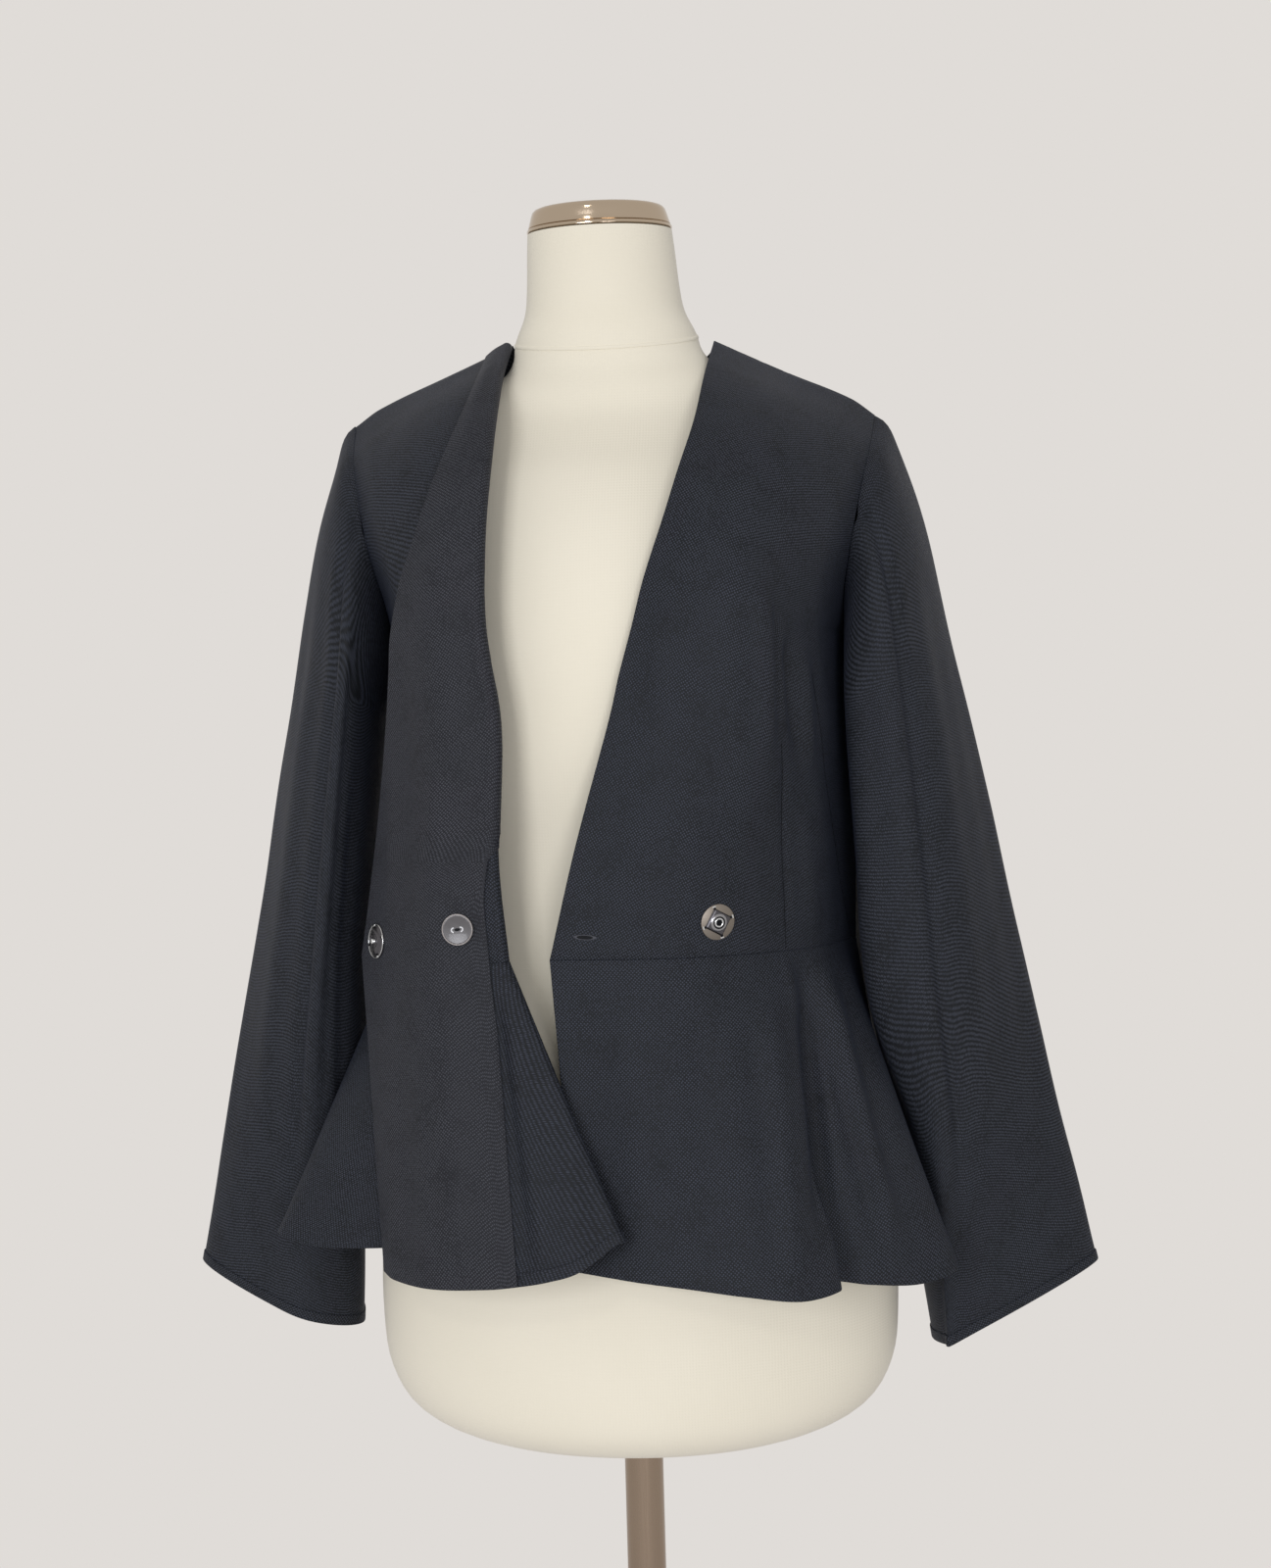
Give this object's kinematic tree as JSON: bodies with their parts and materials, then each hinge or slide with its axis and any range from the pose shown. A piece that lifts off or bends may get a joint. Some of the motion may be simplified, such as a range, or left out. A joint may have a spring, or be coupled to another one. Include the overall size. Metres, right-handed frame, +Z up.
{
  "type": "peplum blazer on a limbless dress form",
  "caption": "Collarless double-breasted blazer with a flared peplum and long bell sleeves, worn open with one front turned back, on a limbless dress form with a pole and a round base.",
  "frame": {"origin": "middle of the round base's underside, on the floor", "axes": "+Z up, -Y out of the blazer's front, +X to the wearer's left"},
  "size_m": [0.5901, 0.34, 1.5119],
  "materials": {
    "navy_crepe": "matt crepe weave",
    "navy_facing": "matt crepe weave",
    "cream_jersey": "fine jersey, matt",
    "chrome": "polished",
    "smoked_resin": "smoked, half clear",
    "snap_steel": "bright pressed sheet"
  },
  "bodies": {
    "root": {"bodice_front_left": "navy_crepe", "bodice_front_right": "navy_crepe", "bodice_back_left": "navy_crepe", "bodice_back_right": "navy_crepe", "peplum_front_left": "navy_crepe", "peplum_front_right": "navy_crepe", "peplum_back": "navy_crepe", "sleeve_left": "navy_crepe", "sleeve_right": "navy_crepe", "facing_front_right": "navy_facing", "form_torso": "cream_jersey", "form_neck_cap": "chrome", "form_pole": "chrome", "form_base": "chrome", "button": "smoked_resin", "snap_stud": "snap_steel", "snap_socket": "snap_steel"}
  },
  "joints": []
}
